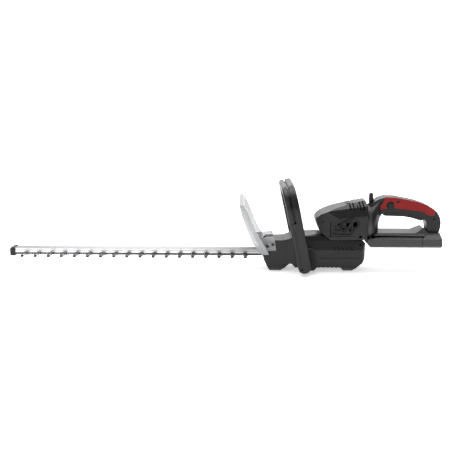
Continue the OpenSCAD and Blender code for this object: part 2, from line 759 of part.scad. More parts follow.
// ---- hand shield ----
shield_base_z = bar_top + 3;
module shield_front_line(d, t) {
    base = nose_x - 8;
    polygon([
        [base - 47.5 + d, shield_top + 1], [base - 40 + d, shield_top - 26], [base - 27 + d, shield_top - 63],
        [base - 15 + d, shield_top - 94], [base - 2 + d, shield_top - 116], [base + 9 + d, shield_top - 130],
        [base + 9 + d + t, shield_top - 130], [base + 4 + t + d, shield_top - 116],
        [base - 7 + d + t, shield_top - 94], [base - 24 + d + t, shield_top - 63],
        [base - 39 + d + t, shield_top - 26], [base - 47 + d + t * 0.6, shield_top + 1]
    ]);
}
module shield_outline(d) {
    half = shield_w / 2;
    offset(delta = -d) polygon([
        [-half + 9, shield_top], [-half, shield_top - 10], [-half + 2, shield_top - 26],
        [-half + 8, shield_top - 63], [-half + 25, shield_top - 94], [-46, 52], [-37, 41],
        [37, 41], [46, 52], [half - 25, shield_top - 94],
        [half - 8, shield_top - 63], [half - 2, shield_top - 26], [half, shield_top - 10],
        [half - 9, shield_top]
    ]);
}
flange_y = nose_half + 1.7;
shield_screw_places = [[nose_x + 12, 62], [nose_x + 24, 66]];
module hand_shield() {
    color([0.85, 0.87, 0.88, 0.45]) difference() {
        union() {
            intersection() {
                along_x(nose_x - 80, nose_x + 40) shield_outline(0);
                along_y(-shield_w, shield_w) shield_front_line(0, shield_t);
            }
            difference() {
                intersection() {
                    along_x(nose_x - 80, nose_x + 40) shield_outline(0);
                    along_y(-shield_w, shield_w) shield_front_line(0, 16);
                }
                along_x(nose_x - 80, nose_x + 60) shield_outline(shield_t);
            }
            both_sides() along_y(flange_y, flange_y + shield_t) polygon([
                [nose_x - 4, 46], [nose_x + 10, 50], [nose_x + 33, 52], [nose_x + 27, 84], [nose_x, 82],
                [nose_x - 14, 80]
            ]);
        }
        block([nose_x - 60, nose_x + 40], [-bar_w / 2 - 3, bar_w / 2 + 3], [0, shield_base_z]);
        // room for the nose
        block([nose_x - 0.6, nose_x + 40], [-flange_y, flange_y], [0, 100]);
        for (p = shield_screw_places) translate([p[0], 0, p[1]]) rod_y(1.7, -flange_y - 8, flange_y + 8);
    }
}

module shield_screws() {
    color(steel) both_sides() for (p = shield_screw_places) translate([p[0], 0, p[1]]) {
        rod_y(1.6, flange_y - 5, flange_y + shield_t + 0.01);
        rod_y(3.4, flange_y + shield_t, flange_y + shield_t + 2);
    }
}

// ---- loop handle ----
loop_foot_x = case_front + 8;
loop_foot_z = 12;
pad_x0 = loop_foot_x - 34;
pad_x1 = loop_foot_x + 12;
pad_outer = body_half + 17;
loop_len = (loop_top - loop_foot_z) / cos(loop_lean) - loop_d * tan(loop_lean) * 0.5;
// The loop's outline, filled in from x0 to x1 in its own lean, d is the inset from its outer edge
module loop_block(x0, x1, d) {
    half = loop_w / 2 - d;
    foot = pad_outer + loop_t - d;
    corner = 52 - d;
    top = loop_len - d;
    side_z = top - corner;
    both_sides() translate([0, half - corner, side_z]) rod_x(corner, x0, x1);
    along_x(x0, x1) polygon([
        [-half + corner, top], [half - corner, top], [half, side_z], [foot, 12], [foot, -1],
        [-foot, -1], [-foot, 12], [-half, side_z]
    ]);
}
// The loop seen from the side, with rounded feet
module loop_side() {
    foot_r = 11;
    for (x = [-loop_d + foot_r, -foot_r]) translate([x, foot_r]) circle(r = foot_r);
    translate([-loop_d + foot_r, 0]) square([loop_d - 2 * foot_r, foot_r]);
    translate([-loop_d, foot_r]) square([loop_d, loop_len]);
}
module lean() { translate([loop_foot_x, 0, loop_foot_z]) rotate([0, -loop_lean, 0]) children(); }
module loop_band(x0, x1, z0, grow) {
    lean() intersection() {
        difference() {
            loop_block(x0, x1, -grow);
            loop_block(x0 - 1, x1 + 1, loop_t + grow);
        }
        block([x0 - 1, x1 + 1], [-loop_w, loop_w], [z0, loop_len + 10]);
    }
}
bar_end_z = 120;
bail_d = 12;
bail_gap = 0.4;
bail_back = -loop_d + bail_d + bar_travel + bail_gap;
// A tongue on the shell runs in a groove in the back of the switch bar and closes the gap behind it
tongue_in = 5.5;
tongue_front = -loop_d + bail_d - 4;
mid_half = 15;
module loop_shell() {
    color(moulded) {
        difference() {
            intersection() {
                loop_band(-loop_d, 0, 0, 0);
                lean() along_y(-loop_w, loop_w) loop_side();
            }
            // front of the loop makes room for the switch bar
            loop_band(-loop_d - 1, bail_back, bar_end_z - 4, 1);
            // groove along the front of each leg
            lean() both_sides() block([-loop_d + 3, -loop_d + 9], [pad_outer + loop_t - 4, loop_w],
                                      [8, bar_end_z - 12]);
            lean() along_x(bail_back - 1, bail_back + 11)
                translate([0, loop_len - loop_t / 2]) square([26, 12], center = true);
        }
        difference() {
            loop_band(tongue_front, bail_back + 1, bar_end_z + 3, -tongue_in);
            lean() block([-loop_d, bail_back + 2], [-mid_half, mid_half], [0, loop_len + 10]);
        }
    }
}

module front_switch_bar() {
    press_z = loop_len - loop_t / 2;
    color("#343436") {
        difference() {
            loop_band(-loop_d, -loop_d + bail_d, bar_end_z, -0.4);
            loop_band(tongue_front - bar_travel - 0.5, -loop_d + bail_d + 1, bar_end_z - 1, -tongue_in + 0.4);
        }
        // pad that presses the switch
        lean() block([-loop_d + 3, -loop_d + bail_d + bail_gap], [-3, 3], [press_z - 3, press_z + 3]);
    }
}

module front_micro_switch() {
    color("#1b1b1d") lean() {
        block([bail_back + 1, bail_back + 10.5], [-11, 11],
            [loop_len - loop_t / 2 - 5, loop_len - loop_t / 2 + 5]);
        block([bail_back + 0.2, bail_back + 1.1], [-3, 3],
            [loop_len - loop_t / 2 - 2, loop_len - loop_t / 2 + 2]);
    }
}

module loop_pads() {
    color("#1d1d1f") both_sides() difference() {
        along_y(body_half + 0.1, pad_outer - 0.1) polygon([
            [pad_x0 + 8, 7], [pad_x1 - 6, 9], [pad_x1, 16], [pad_x1 - 8, 56], [pad_x1 - 14, 60],
            [pad_x0 + 6, 60], [pad_x0 - 4, 52], [pad_x0 + 2, 16]
        ]);
        for (i = [0 : 4]) translate([pad_x0 - 3, 0, 12 + i * 9]) rotate([0, 40, 0])
            block([-2, 5], [body_half, pad_outer - 3], [-1.5, 1.5]);
        for (i = [0 : 3]) translate([pad_x1 - 2 - i * 1.6, 0, 16 + i * 9]) rotate([0, 40, 0])
            block([-5, 6], [body_half, pad_outer - 3], [-1.5, 1.5]);
        for (p = loop_screw_places) translate([p[0], 0, p[1]]) rod_y(2.3, body_half - 2, pad_outer + 2);
    }
}

loop_screw_places = [[loop_foot_x - 16, 20], [loop_foot_x - 22, 44]];
module loop_screws() {
    color(steel) both_sides() for (p = loop_screw_places) translate([p[0], 0, p[1]])
        rod_y(2.2, body_half + 0.2, pad_outer - 0.2);
}

// ---- swivel ----
bush_len = 12;
spigot_end = swivel_x + bush_len + 1;
module swivel_spigot() {
    color("#3c3c3f") difference() {
        union() {
            rod_at_swivel(spigot_r, pod_rear - 7.8, spigot_end);
            rod_at_swivel(collar_r - 4, pod_rear - 7.8, pod_rear);
        }
        rod_at_swivel(spigot_r - 6, pod_rear - 9, spigot_end + 1);
        for (a = [0, 90, -90]) translate([0, 0, swivel_z]) rotate([a, 0, 0])
            block([pod_rear - 3, pod_rear + 1], [-5.4, 5.4], [spigot_r + 9, collar_r - 6]);
        for (a = [60 : 120 : 300]) translate([0, 0, swivel_z]) rotate([a, 0, 0])
            translate([0, 0, spigot_r - 3]) rod_x(1.2, spigot_end - 8, spigot_end + 1);
    }
}
module swivel_retainer() {
    color(steel) difference() {
        rod_at_swivel(spigot_r + 4, spigot_end, spigot_end + 2.5);
        rod_at_swivel(spigot_r - 6, spigot_end - 1, spigot_end + 4);
        for (a = [60 : 120 : 300]) translate([0, 0, swivel_z]) rotate([a, 0, 0])
            translate([0, 0, spigot_r - 3]) rod_x(1.4, spigot_end - 1, spigot_end + 4);
    }
}
module retainer_screws() {
    color(steel) for (a = [60 : 120 : 300]) translate([0, 0, swivel_z]) rotate([a, 0, 0])
        translate([0, 0, spigot_r - 3]) {
            rod_x(1.15, spigot_end - 7, spigot_end + 2.6);
            rod_x(2.5, spigot_end + 2.5, spigot_end + 4);
        }
}
bush_r = spigot_r + 5;
module swivel_bush() {
    color("#cfcabd") difference() {
        rod_at_swivel(bush_r, swivel_x + 0.4, swivel_x + bush_len + 0.5);
        rod_at_swivel(spigot_r + run_gap, swivel_x - 1, spigot_end + 1);
    }
}
lever_half = 5;
lever_slot_z = swivel_z + bush_r + 1;
collar_len = 10;
module swivel_collar() {
    color(light_grey) difference() {
        rod_at_swivel(collar_r, swivel_x, swivel_x + collar_len);
        rod_at_swivel(bush_r + 0.05, swivel_x - 1, swivel_x + collar_len + 1);
        block([swivel_x - 1, swivel_x + collar_len + 1], [-lever_half - 0.4, lever_half + 0.4],
              [lever_slot_z, swivel_z + collar_r + 5]);
    }
}
release_x = swivel_x + 8;
release_pivot = [release_x + 5, swivel_z + collar_r - 5];
module swivel_release() {
    top = swivel_z + collar_r;
    color("#1e1e20") {
        along_y(-lever_half, lever_half) polygon([
            [swivel_x + 0.3, lever_slot_z + 2.4], [release_x + 1, lever_slot_z + 1.8],
            [release_x + 3, lever_slot_z + 4], [release_x + 8, release_pivot[1]], [release_x + 9, top + 13],
            [release_x + 9, top + 22], [release_x + 7, top + 26.5], [release_x + 3, top + 27],
            [release_x, top + 24],
            [release_x - 1, top + 14], [release_x + 1, release_pivot[1] + 4],
            [release_x - 1, lever_slot_z + 7],
            [swivel_x + 0.3, lever_slot_z + 5]
        ]);
        // round ends that the lever rocks on
        translate([release_pivot[0], 0, release_pivot[1]]) rod_y(1.6, -lever_half - 0.3, lever_half + 0.3);
    }
}

// ---- rear handle ----
neck_x = swivel_x + collar_len;
module handle_side(d) {
    x = swivel_x;
    r = handle_rear;
    offset(delta = -d) difference() {
        polygon([
            [neck_x + 0.2, bay_top + 0.3], [neck_x + 0.2, 160], [x + 18, 166], [x + 31, 173], [x + 45, 176.5],
            [x + 67, 175], [x + 89, 171], [r - 57, 165], [r - 37, 158], [r - 21, 150], [r - 9, 140.6],
            [r - 3, 130], [r, 118], [r, 106], [r - 3, bay_top + 0.3]
        ]);
        handle_opening();
    }
}
opening_front = swivel_x + 27;
opening_rear = handle_rear - 31;
module handle_opening() {
    f = opening_front;
    r = opening_rear;
    polygon([
        [f, bay_top - 1], [f, 116], [f + 3, 126], [f + 8, 135], [f + 14, 142], [f + 60, 142],
        [r - 30, 136], [r - 13, 129], [r - 4, 120], [r, 108], [r + 2, bay_top - 1]
    ]);
}
module handle_solid(d) {
    intersection() {
        along_y(-collar_r, collar_r) handle_side(d);
        union() {
            along_x(neck_x, handle_rear + 1) translate([-grip_half + d, bay_top])
                square([grip_w - 2 * d, 90]);
            hull() {
                rod_at_swivel(collar_r - 1 - d, neck_x + 0.2, neck_x + 4);
                along_x(neck_x + 22, neck_x + 23) translate([-grip_half + d, bay_top])
                    square([grip_w - 2 * d, 76]);
            }
        }
    }
}
trigger_half = grip_half - wall - 1.2;
trigger_pivot = [opening_rear - 12, 134];
lock_x = swivel_x + 55;
lock_z = 157;
lock_r = 7;
handle_posts = [[swivel_x + 32, 164], [swivel_x + 72, 166], [opening_rear + 14, 126]];
module rear_handle(side) {
    color(moulded) intersection() {
        half_space(side);
        difference() {
            union() {
                difference() {
                    handle_solid(0);
                    handle_solid(wall);
                }
                intersection() {
                    handle_solid(0.3);
                    for (p = handle_posts) translate([p[0], 0, p[1]]) rod_y(4, -grip_half, grip_half);
                }
            }
            // room for the swivel inside the neck, and for the release lever above it
            rod_at_swivel(spigot_r + 6, neck_x - 1, spigot_end + 6);
            block([swivel_x - 1, release_x + 12], [-lever_half - 0.5, lever_half + 0.5], [lever_slot_z, 190]);
            // mouth for the trigger
            along_y(-trigger_half - 0.5, trigger_half + 0.5) polygon([
                [opening_front + 9, 130], [opening_front + 9, 152], [opening_rear - 4, 146],
                [opening_rear - 3, 118],
                [opening_rear - 30, 126]
            ]);
            // lock-off button
            translate([lock_x, 0, lock_z]) rod_y(lock_r + 0.4, -grip_half - 2, grip_half + 2);
            // shallow seat for the soft grip
            both_sides() along_y(grip_half - grip_skin, grip_half + 1) grip_outline(0);
            for (p = handle_posts) translate([p[0], 0, p[1]]) rod_y(1.6, -grip_half + 5, grip_half + 2);
            for (p = handle_posts) translate([p[0], 0, p[1]]) rod_y(3.1, -grip_half - 2, -grip_half + 5.4);
            translate([trigger_pivot[0], 0, trigger_pivot[1]])
                rod_y(2, -grip_half + wall - 1.2, grip_half - wall + 1.2);
        }
    }
}
module rear_handle_left() { rear_handle(-1); }
module rear_handle_right() { rear_handle(1); }

module grip_outline(d) {
    x = swivel_x;
    r = handle_rear;
    offset(delta = -d) difference() {
        polygon([
            [x + 41, 177], [x + 67, 176], [x + 89, 172], [r - 57, 166], [r - 37, 159], [r - 21, 151],
            [r - 13, 144.5], [r - 17, 133.5], [r - 31, 133.5], [r - 41, 141], [r - 50, 143.5], [x + 66, 151],
            [x + 46, 150], [x + 33, 147], [x + 26, 150.5], [x + 27, 154], [x + 40, 165]
        ]);
        translate([lock_x, lock_z]) circle(r = lock_r + 2.4);
    }
}
module grip(side) {
    mirror([0, side < 0 ? 1 : 0, 0]) color(red) difference() {
        along_y(grip_half - grip_skin, grip_half + 0.5) grip_outline(0.15);
        for (p = handle_posts) translate([p[0], 0, p[1]]) rod_y(3.3, grip_half - 4, grip_half + 4);
    }
}
module grip_left() { grip(-1); }
module grip_right() { grip(1); }

module handle_screws() {
    color("#6d6e72") for (p = handle_posts) translate([p[0], 0, p[1]]) {
        rod_y(1.5, -grip_half + 5.2, grip_half - 4);
        rod_y(2.9, -grip_half + 3.9, -grip_half + 5.3);
    }
}

module trigger() {
    f = opening_front;
    r = opening_rear;
    color("#232325") difference() {
        along_y(-trigger_half, trigger_half) polygon([
            [f + 13, 133.5], [f + 18, 131.5], [f + 60, 130.5], [r - 40, 127.5], [r - 22, 122.5],
            [r - 14, 120],
            [r - 8, 124], [r - 6, 138], [r - 14, 140], [f + 66, 141.5], [f + 44, 141.5], [f + 13, 141]
        ]);
        translate([trigger_pivot[0], 0, trigger_pivot[1]])
            rod_y(2 + run_gap, -trigger_half - 1, trigger_half + 1);
    }
}
module trigger_pin() {
    color(steel) translate([trigger_pivot[0], 0, trigger_pivot[1]])
        rod_y(1.98, -grip_half + wall - 1, grip_half - wall + 1);
}
module main_switch() {
    color("#1b1b1d") {
        block([swivel_x + 76, swivel_x + 100], [-8, 8], [153.5, 163]);
        block([swivel_x + 80, swivel_x + 84], [-3, 3], [147.5, 153.6]);
    }
}
module lock_off_button() {
    stub = grip_half + lock_travel + 0.5;
    color("#19191b") translate([lock_x, 0, lock_z]) {
        rod_y(lock_r, -stub, stub);
    }
}

// ---- battery ----
pack_front = swivel_x + 18;
head_x = handle_rear - 46;
pack_half = bay_half - wall - pack_gap;
pack_z = bay_z + 4;
pack_top = bay_top - wall - 3.4;
module bay_side() {
    x = swivel_x + 0.4;
    polygon([
        [x, bay_z + 14], [x + 2, bay_z + 7], [x + 9, bay_z], [head_x - 0.6, bay_z],
        [head_x - 0.6, bay_top - 10],
        [head_x + 10, bay_top - 2], [handle_rear - 2, bay_top - 2], [handle_rear - 3, bay_top],
        [head_x + 16, bay_top], [head_x + 6, bay_top + 11], [head_x - 14, bay_top], [x + 19, bay_top],
        [x + 9, bay_top], [x + 6, bay_top - 8], [x, bay_top - 15]
    ]);
}
module bay_section() {
    polygon([
        [-bay_half + 6, bay_z], [bay_half - 6, bay_z], [bay_half, bay_z + 5], [bay_half, bay_top - 12],
        [bay_half - 14, bay_top - 1.2], [18, bay_top + 12], [-18, bay_top + 12],
        [-bay_half + 14, bay_top - 1.2],
        [-bay_half, bay_top - 12], [-bay_half, bay_z + 5]
    ]);
}
module battery_bay() {
    color("#3e3e40") difference() {
        intersection() {
            along_y(-bay_half, bay_half) bay_side();
            along_x(swivel_x, handle_rear) bay_section();
        }
        // the space that the pack slides into
        block([pack_front - 7, handle_rear + 1], [-pack_half - pack_gap, pack_half + pack_gap],
              [pack_z - pack_gap, pack_top + pack_gap]);
        // room for the collar and the fixed side of the swivel
        rod_at_swivel(collar_r + 0.3, swivel_x - 1, neck_x + 0.2);
        rod_at_swivel(spigot_r + 6, neck_x - 1, spigot_end + 6);
    }
}

module battery_case() {
    color("#48484a") difference() {
        union() {
            intersection() {
                block([pack_front, head_x + 1], [-pack_half, pack_half], [pack_z, pack_top]);
                along_x(pack_front - 1, handle_rear) polygon([
                    [-pack_half + 4, pack_z], [pack_half - 4, pack_z], [pack_half, pack_z + 4],
                    [pack_half, pack_top - 6], [pack_half - 10, pack_top], [-pack_half + 10, pack_top],
                    [-pack_half, pack_top - 6], [-pack_half, pack_z + 4]
                ]);
            }
            intersection() {
                along_y(-bay_half, bay_half) polygon([
                    [head_x, bay_z + 0.2], [handle_rear - 1, bay_z + 0.2], [handle_rear, bay_z + 2],
                    [handle_rear - 1, bay_top - 8], [handle_rear - 3, bay_top - 2.6],
                    [head_x + 10.5, bay_top - 2.6],
                    [head_x, bay_top - 11]
                ]);
                along_x(head_x - 1, handle_rear + 1) bay_section();
            }
        }
        // hollow for the cells
        block([cell_x0 - 1.5, cell_x1 + 1.5], [-cell_len / 2 - 1, cell_len / 2 + 1],
              [pack_z + 1.6, cell_z + cell_r + 0.6]);
        for (y = contact_y)
            block([pack_front - 1, pack_front + 6], [y - 1.2, y + 1.2], [pack_z + 3, pack_z + 15]);
        // grip lines across the rear block
        for (z = [bay_z + 9, bay_z + 16, bay_z + 23]) block(
            [handle_rear - 1.4, handle_rear + 1], [-bay_half + 8, bay_half - 8], [z, z + 1.6]);
        // latch pocket
        block([handle_rear - 12, handle_rear + 1], [-12.5, 12.5], [bay_top - 9.5, bay_top + 1]);
    }
}
contact_y = [-14, 0, 14];
module terminal_block() {
    color("#17171a")
        block([pack_front - 6.8, pack_front - 1.2], [-22, 22], [pack_z - pack_gap, pack_top - 4]);
    color("#c9a24a") for (y = contact_y)
        block([pack_front - 1.3, pack_front + 3.5], [y - 0.5, y + 0.5], [pack_z + 4, pack_z + 14]);
}
cell_z = pack_z + 2 + cell_r;
cell_x0 = pack_front + 6;
cell_x1 = cell_x0 + cell_count * (2 * cell_r + 0.4);
module battery_cells() {
    color("#3f6aa0") for (i = [0 : cell_count - 1])
        translate([cell_x0 + cell_r + i * (2 * cell_r + 0.4), 0, cell_z])
            rod_y(cell_r, -cell_len / 2, cell_len / 2);
}
module battery_latch() {
    color(red) block([handle_rear - 11, handle_rear - 0.4], [-12, 12], [bay_top - 6, bay_top - 2.7]);
}

// ---- assembly ----
module centred() { translate([shift_x, 0, 0]) children(); }
centred() guide_bar();
centred() tip_guard();
centred() blade_screws();
centred() blade_washers();
centred() blade_guide_plate();
centred() blade_wiper();
centred() upper_blade();
centred() lower_blade();
centred() gear_case();
centred() gear_case_cover();
centred() case_screws();
centred() crank_bearings();
centred() crank_shaft();
centred() drive_gear();
centred() cams();
centred() motor_can();
centred() motor_magnets();
centred() motor_end_cap();
centred() motor_bushes();
centred() motor_brushes();
centred() control_board();
centred() motor_shaft();
centred() motor_pinion();
centred() armature();
centred() commutator();
centred() cooling_fan();
centred() body_shell_left();
centred() body_shell_right();
centred() motor_cover_left();
centred() motor_cover_right();
centred() vent_panel_left();
centred() vent_panel_right();
centred() body_screws();
centred() hand_shield();
centred() shield_screws();
centred() loop_shell();
centred() loop_pads();
centred() loop_screws();
centred() front_switch_bar();
centred() front_micro_switch();
centred() swivel_spigot();
centred() swivel_retainer();
centred() retainer_screws();
centred() swivel_bush();
centred() swivel_collar();
centred() swivel_release();
centred() rear_handle_left();
centred() rear_handle_right();
centred() grip_left();
centred() grip_right();
centred() handle_screws();
centred() trigger();
centred() trigger_pin();
centred() main_switch();
centred() lock_off_button();
centred() battery_bay();
centred() terminal_block();
centred() battery_case();
centred() battery_cells();
centred() battery_latch();
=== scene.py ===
# %% [markdown]
# # A cordless hedge trimmer, dressed for the studio
# The imported CAD model is the fixed frame of this lesson. It holds every plate, shaft, gear and shell at its
# true size. Nothing here moves or resizes those pieces. The lesson adds what
# a maker adds last: softened edges, mouldings with a real surface, ground steel, and light to see them by.

# %% Load the frame
import json
import math

import bmesh
import bpy
from mathutils import Matrix, Vector


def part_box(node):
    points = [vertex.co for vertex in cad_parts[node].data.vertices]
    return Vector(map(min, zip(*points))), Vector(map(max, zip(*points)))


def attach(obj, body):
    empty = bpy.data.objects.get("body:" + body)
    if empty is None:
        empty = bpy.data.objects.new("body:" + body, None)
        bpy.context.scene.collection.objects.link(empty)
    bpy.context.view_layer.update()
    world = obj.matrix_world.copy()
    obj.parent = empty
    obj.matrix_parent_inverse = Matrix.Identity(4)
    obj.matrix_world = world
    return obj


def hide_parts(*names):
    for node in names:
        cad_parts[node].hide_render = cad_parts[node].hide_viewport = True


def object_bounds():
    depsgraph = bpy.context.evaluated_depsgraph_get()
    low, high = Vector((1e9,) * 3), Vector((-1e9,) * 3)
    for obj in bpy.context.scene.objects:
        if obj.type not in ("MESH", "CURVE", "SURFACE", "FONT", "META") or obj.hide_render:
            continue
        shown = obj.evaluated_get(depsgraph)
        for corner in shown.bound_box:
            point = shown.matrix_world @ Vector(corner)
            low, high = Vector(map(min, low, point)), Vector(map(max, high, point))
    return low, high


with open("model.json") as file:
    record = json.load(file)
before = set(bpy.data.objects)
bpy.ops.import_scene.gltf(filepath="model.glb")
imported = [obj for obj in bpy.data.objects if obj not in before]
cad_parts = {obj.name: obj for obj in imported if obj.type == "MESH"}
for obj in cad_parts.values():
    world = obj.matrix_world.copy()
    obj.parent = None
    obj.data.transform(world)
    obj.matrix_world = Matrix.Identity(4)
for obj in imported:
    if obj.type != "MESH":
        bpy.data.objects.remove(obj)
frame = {"nodes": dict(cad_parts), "record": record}

nodes = frame["nodes"]
cad_box = [list(corner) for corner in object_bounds()]
MM = 0.001
print("CAD nodes:", len(nodes), "box in metres:", [[round(v, 4) for v in corner] for corner in cad_box])

# %% [markdown]
# ## Shader arithmetic
# A finish is built from node sockets. Writing `0.5 + 0.1 * grain` is easier to read than three Math nodes, so
# a small class wraps a socket and turns Python's operators into Math nodes. The reflected forms, such as
# `__rsub__`, make `1 - mask` work too. Every other kind of node comes from one method of the Finish class.

# %% A socket that does sums
class Wire:
    """A shader socket that can be added, subtracted, multiplied, divided and raised to a power."""

    def __init__(self, finish, socket):
        self.finish = finish
        self.socket = socket

    def _sum(self, operation, first, second=None):
        values = {0: first} if second is None else {0: first, 1: second}
        return self.finish.node("ShaderNodeMath", {"operation": operation}, values)

    def __add__(self, other): return self._sum("ADD", self, other)
    def __radd__(self, other): return self._sum("ADD", other, self)
    def __sub__(self, other): return self._sum("SUBTRACT", self, other)
    def __rsub__(self, other): return self._sum("SUBTRACT", other, self)
    def __mul__(self, other): return self._sum("MULTIPLY", self, other)
    def __rmul__(self, other): return self._sum("MULTIPLY", other, self)
    def __pow__(self, other): return self._sum("POWER", self, other)
    def __gt__(self, other): return self._sum("GREATER_THAN", self, other)
    def __lt__(self, other): return self._sum("LESS_THAN", self, other)
    def abs(self): return self._sum("ABSOLUTE", self)
    def clamp(self): return self.finish.node("ShaderNodeClamp", {}, {0: self, 1: 0.0, 2: 1.0})


# %% One finish, from its first node to its last
class Finish:
    """A material under construction. `skin` holds the constants that sit on the shader's own sockets."""

    def __init__(self, name, colour, **skin):
        self.material = bpy.data.materials.new(name)
        self.material.use_nodes = True
        self.tree = self.material.node_tree
        self.shader = self.tree.nodes["Principled BSDF"]
        self.shader.inputs["Base Color"].default_value = (*colour, 1.0)
        for socket, value in skin.items():
            self.shader.inputs[socket.replace("_", " ").title().replace("Ior", "IOR")].default_value = value
        self.places = None

    def node(self, kind, settings=None, values=None, output=0):
        made = self.tree.nodes.new(kind)
        for key, value in (settings or {}).items():
            setattr(made, key, value)
        for key, value in (values or {}).items():
            if isinstance(value, Wire):
                self.tree.links.new(value.socket, made.inputs[key])
            else:
                made.inputs[key].default_value = value
        return Wire(self, made.outputs[output])

    def place(self):
        """Where a point of the surface is, in metres."""
        if self.places is None:
            self.places = self.node("ShaderNodeTexCoord", output="Object")
        return self.places

    def along(self, axis):
        """One coordinate of the place, X, Y or Z."""
        return self.node("ShaderNodeSeparateXYZ", values={0: self.place()}, output="XYZ".index(axis))

    def stretched(self, x=1.0, y=1.0, z=1.0):
        return self.node("ShaderNodeVectorMath", {"operation": "MULTIPLY"}, {0: self.place(), 1: (x, y, z)})

    def upward(self):
        """1 where a face looks straight up, 0 where it is upright and -1 where it looks down."""
        facing = self.node("ShaderNodeNewGeometry", output="Normal")
        return self.node("ShaderNodeVectorMath", {"operation": "DOT_PRODUCT"},
                         {0: facing, 1: (0, 0, 1)}, "Value")

    def hollow(self, reach):
        """1 in the open, falling to 0 down in a crease or a slot that light can't get into."""
        return self.node("ShaderNodeAmbientOcclusion", {"samples": 8}, {"Distance": reach}, "AO")

    def cloud(self, size, detail=2.0, vector=None):
        """Soft noise from 0 to 1, with blotches about `size` metres across."""
        return self.node("ShaderNodeTexNoise", values={
            "Vector": vector or self.place(), "Scale": 1.0 / size, "Detail": detail})

    def blend(self, share, first, second):
        def colour(value):
            return value if isinstance(value, Wire) else (*value, 1.0)
        return self.node("ShaderNodeMix", {"data_type": "RGBA"},
                         {0: share, 6: colour(first), 7: colour(second)}, 2)

    def bump(self, height, depth, under=None):
        values = {"Height": height, "Strength": 1.0, "Distance": depth}
        if under is not None:
            values["Normal"] = under
        return self.node("ShaderNodeBump", values=values)

    def feed(self, **sockets):
        for name, wire in sockets.items():
            self.tree.links.new(wire.socket, self.shader.inputs[name.replace("_", " ").title()])
        return self.material


print("socket arithmetic ready")

# %% [markdown]
# ## The camera and the room
# The trimmer stands on its two feet, blade to the left, seen from the operator's left and a little above. A
# long lens from a metre and a half keeps the far end of the blade from shrinking.

# %% Camera
low, high = (Vector(corner) for corner in cad_box)
aim = Vector(((low.x + high.x) / 2 + 0.0055, 0.0, 0.105))
AZIMUTH, RISE, DISTANCE = math.radians(1.2), math.radians(12.3), 1.55
camera_data = bpy.data.cameras.new("camera")
camera_data.lens = 51.7
camera = bpy.data.objects.new("camera", camera_data)
bpy.context.scene.collection.objects.link(camera)
back_off = Vector((math.sin(AZIMUTH) * math.cos(RISE), -math.cos(AZIMUTH) * math.cos(RISE), math.sin(RISE)))
camera.location = aim + DISTANCE * back_off
camera.rotation_euler = (-back_off).to_track_quat("-Z", "Y").to_euler()
bpy.context.scene.camera = camera
print("camera", [round(v, 3) for v in camera.location], "looks at", [round(v, 3) for v in aim])

# %% [markdown]
# The room is a sheet of white paper that curves up behind the tool. Three soft panels light it: a wide one
# overhead, one high on the front left, and a narrow one behind that draws a thin light line
# along the top edges. The world is an even white, so dark plastic has something pale to reflect.

# %% Paper, panels and sky
def mesh_object(name, points, faces, smooth=False):
    mesh = bpy.data.meshes.new(name)
    mesh.from_pydata([tuple(p) for p in points], [], faces)
    mesh.polygons.foreach_set("use_smooth", [smooth] * len(mesh.polygons))
    made = bpy.data.objects.new(name, mesh)
    bpy.context.scene.collection.objects.link(made)
    return made


def face_outwards(made):
    """Turns every face of a closed skin to look outwards."""
    skin = bmesh.new()
    skin.from_mesh(made.data)
    bmesh.ops.recalc_face_normals(skin, faces=skin.faces)
    skin.to_mesh(made.data)
    skin.free()


def paper_roll():
    """A floor that turns up into a wall behind the tool, swept from one profile."""
    profile = [(-2.6, 0.0), (1.6, 0.0)]
    profile += [(1.6 + 0.9 * math.sin(t), 0.9 - 0.9 * math.cos(t)) for t in (0.26 * k for k in range(1, 7))]
    profile += [(2.5, 3.2)]
    points = [(x, y, z) for x in (-3.4, 3.4) for y, z in profile]
    count = len(profile)
    return mesh_object("paper", points, [(k, k + 1, count + k + 1, count + k) for k in range(count - 1)], True)


def paper_finish():
    paper = Finish("white_paper", (0.9, 0.9, 0.9), Roughness=0.9, Specular_IOR_Level=0.1,
                   Emission_Color=(1.0, 1.0, 1.0, 1.0), Emission_Strength=0.5)
    fibre = paper.cloud(0.004, 3.0)
    shade = paper.blend(paper.cloud(0.6), (0.93, 0.93, 0.93), (0.90, 0.90, 0.90))
    return paper.feed(base_color=shade, normal=paper.bump(fibre, 0.00004))


paper = paper_roll()
paper.data.materials.append(paper_finish())


def panel(name, place, width, depth, power):
    light = bpy.data.lights.new(name, "AREA")
    light.shape, light.size, light.size_y, light.energy = "RECTANGLE", width, depth, power
    lamp = bpy.data.objects.new(name, light)
    bpy.context.scene.collection.objects.link(lamp)
    lamp.location = place
    lamp.rotation_euler = (aim - Vector(place)).to_track_quat("-Z", "Y").to_euler()
    return lamp


panel("overhead", (0.0, 0.35, 1.9), 3.0, 1.4, 62)
panel("front_left", (-1.2, -1.9, 1.2), 0.9, 0.6, 15)
panel("rear_strip", (0.3, 1.3, 0.9), 2.4, 0.4, 9)
world = bpy.data.worlds.new("studio")
world.use_nodes = True
sky = world.node_tree.nodes["Background"]
sky.inputs["Color"].default_value = (1.0, 1.0, 1.0, 1.0)
sky.inputs["Strength"].default_value = 0.26
bpy.context.scene.world = world
bpy.context.scene.view_settings.view_transform = "Standard"
print("room ready")
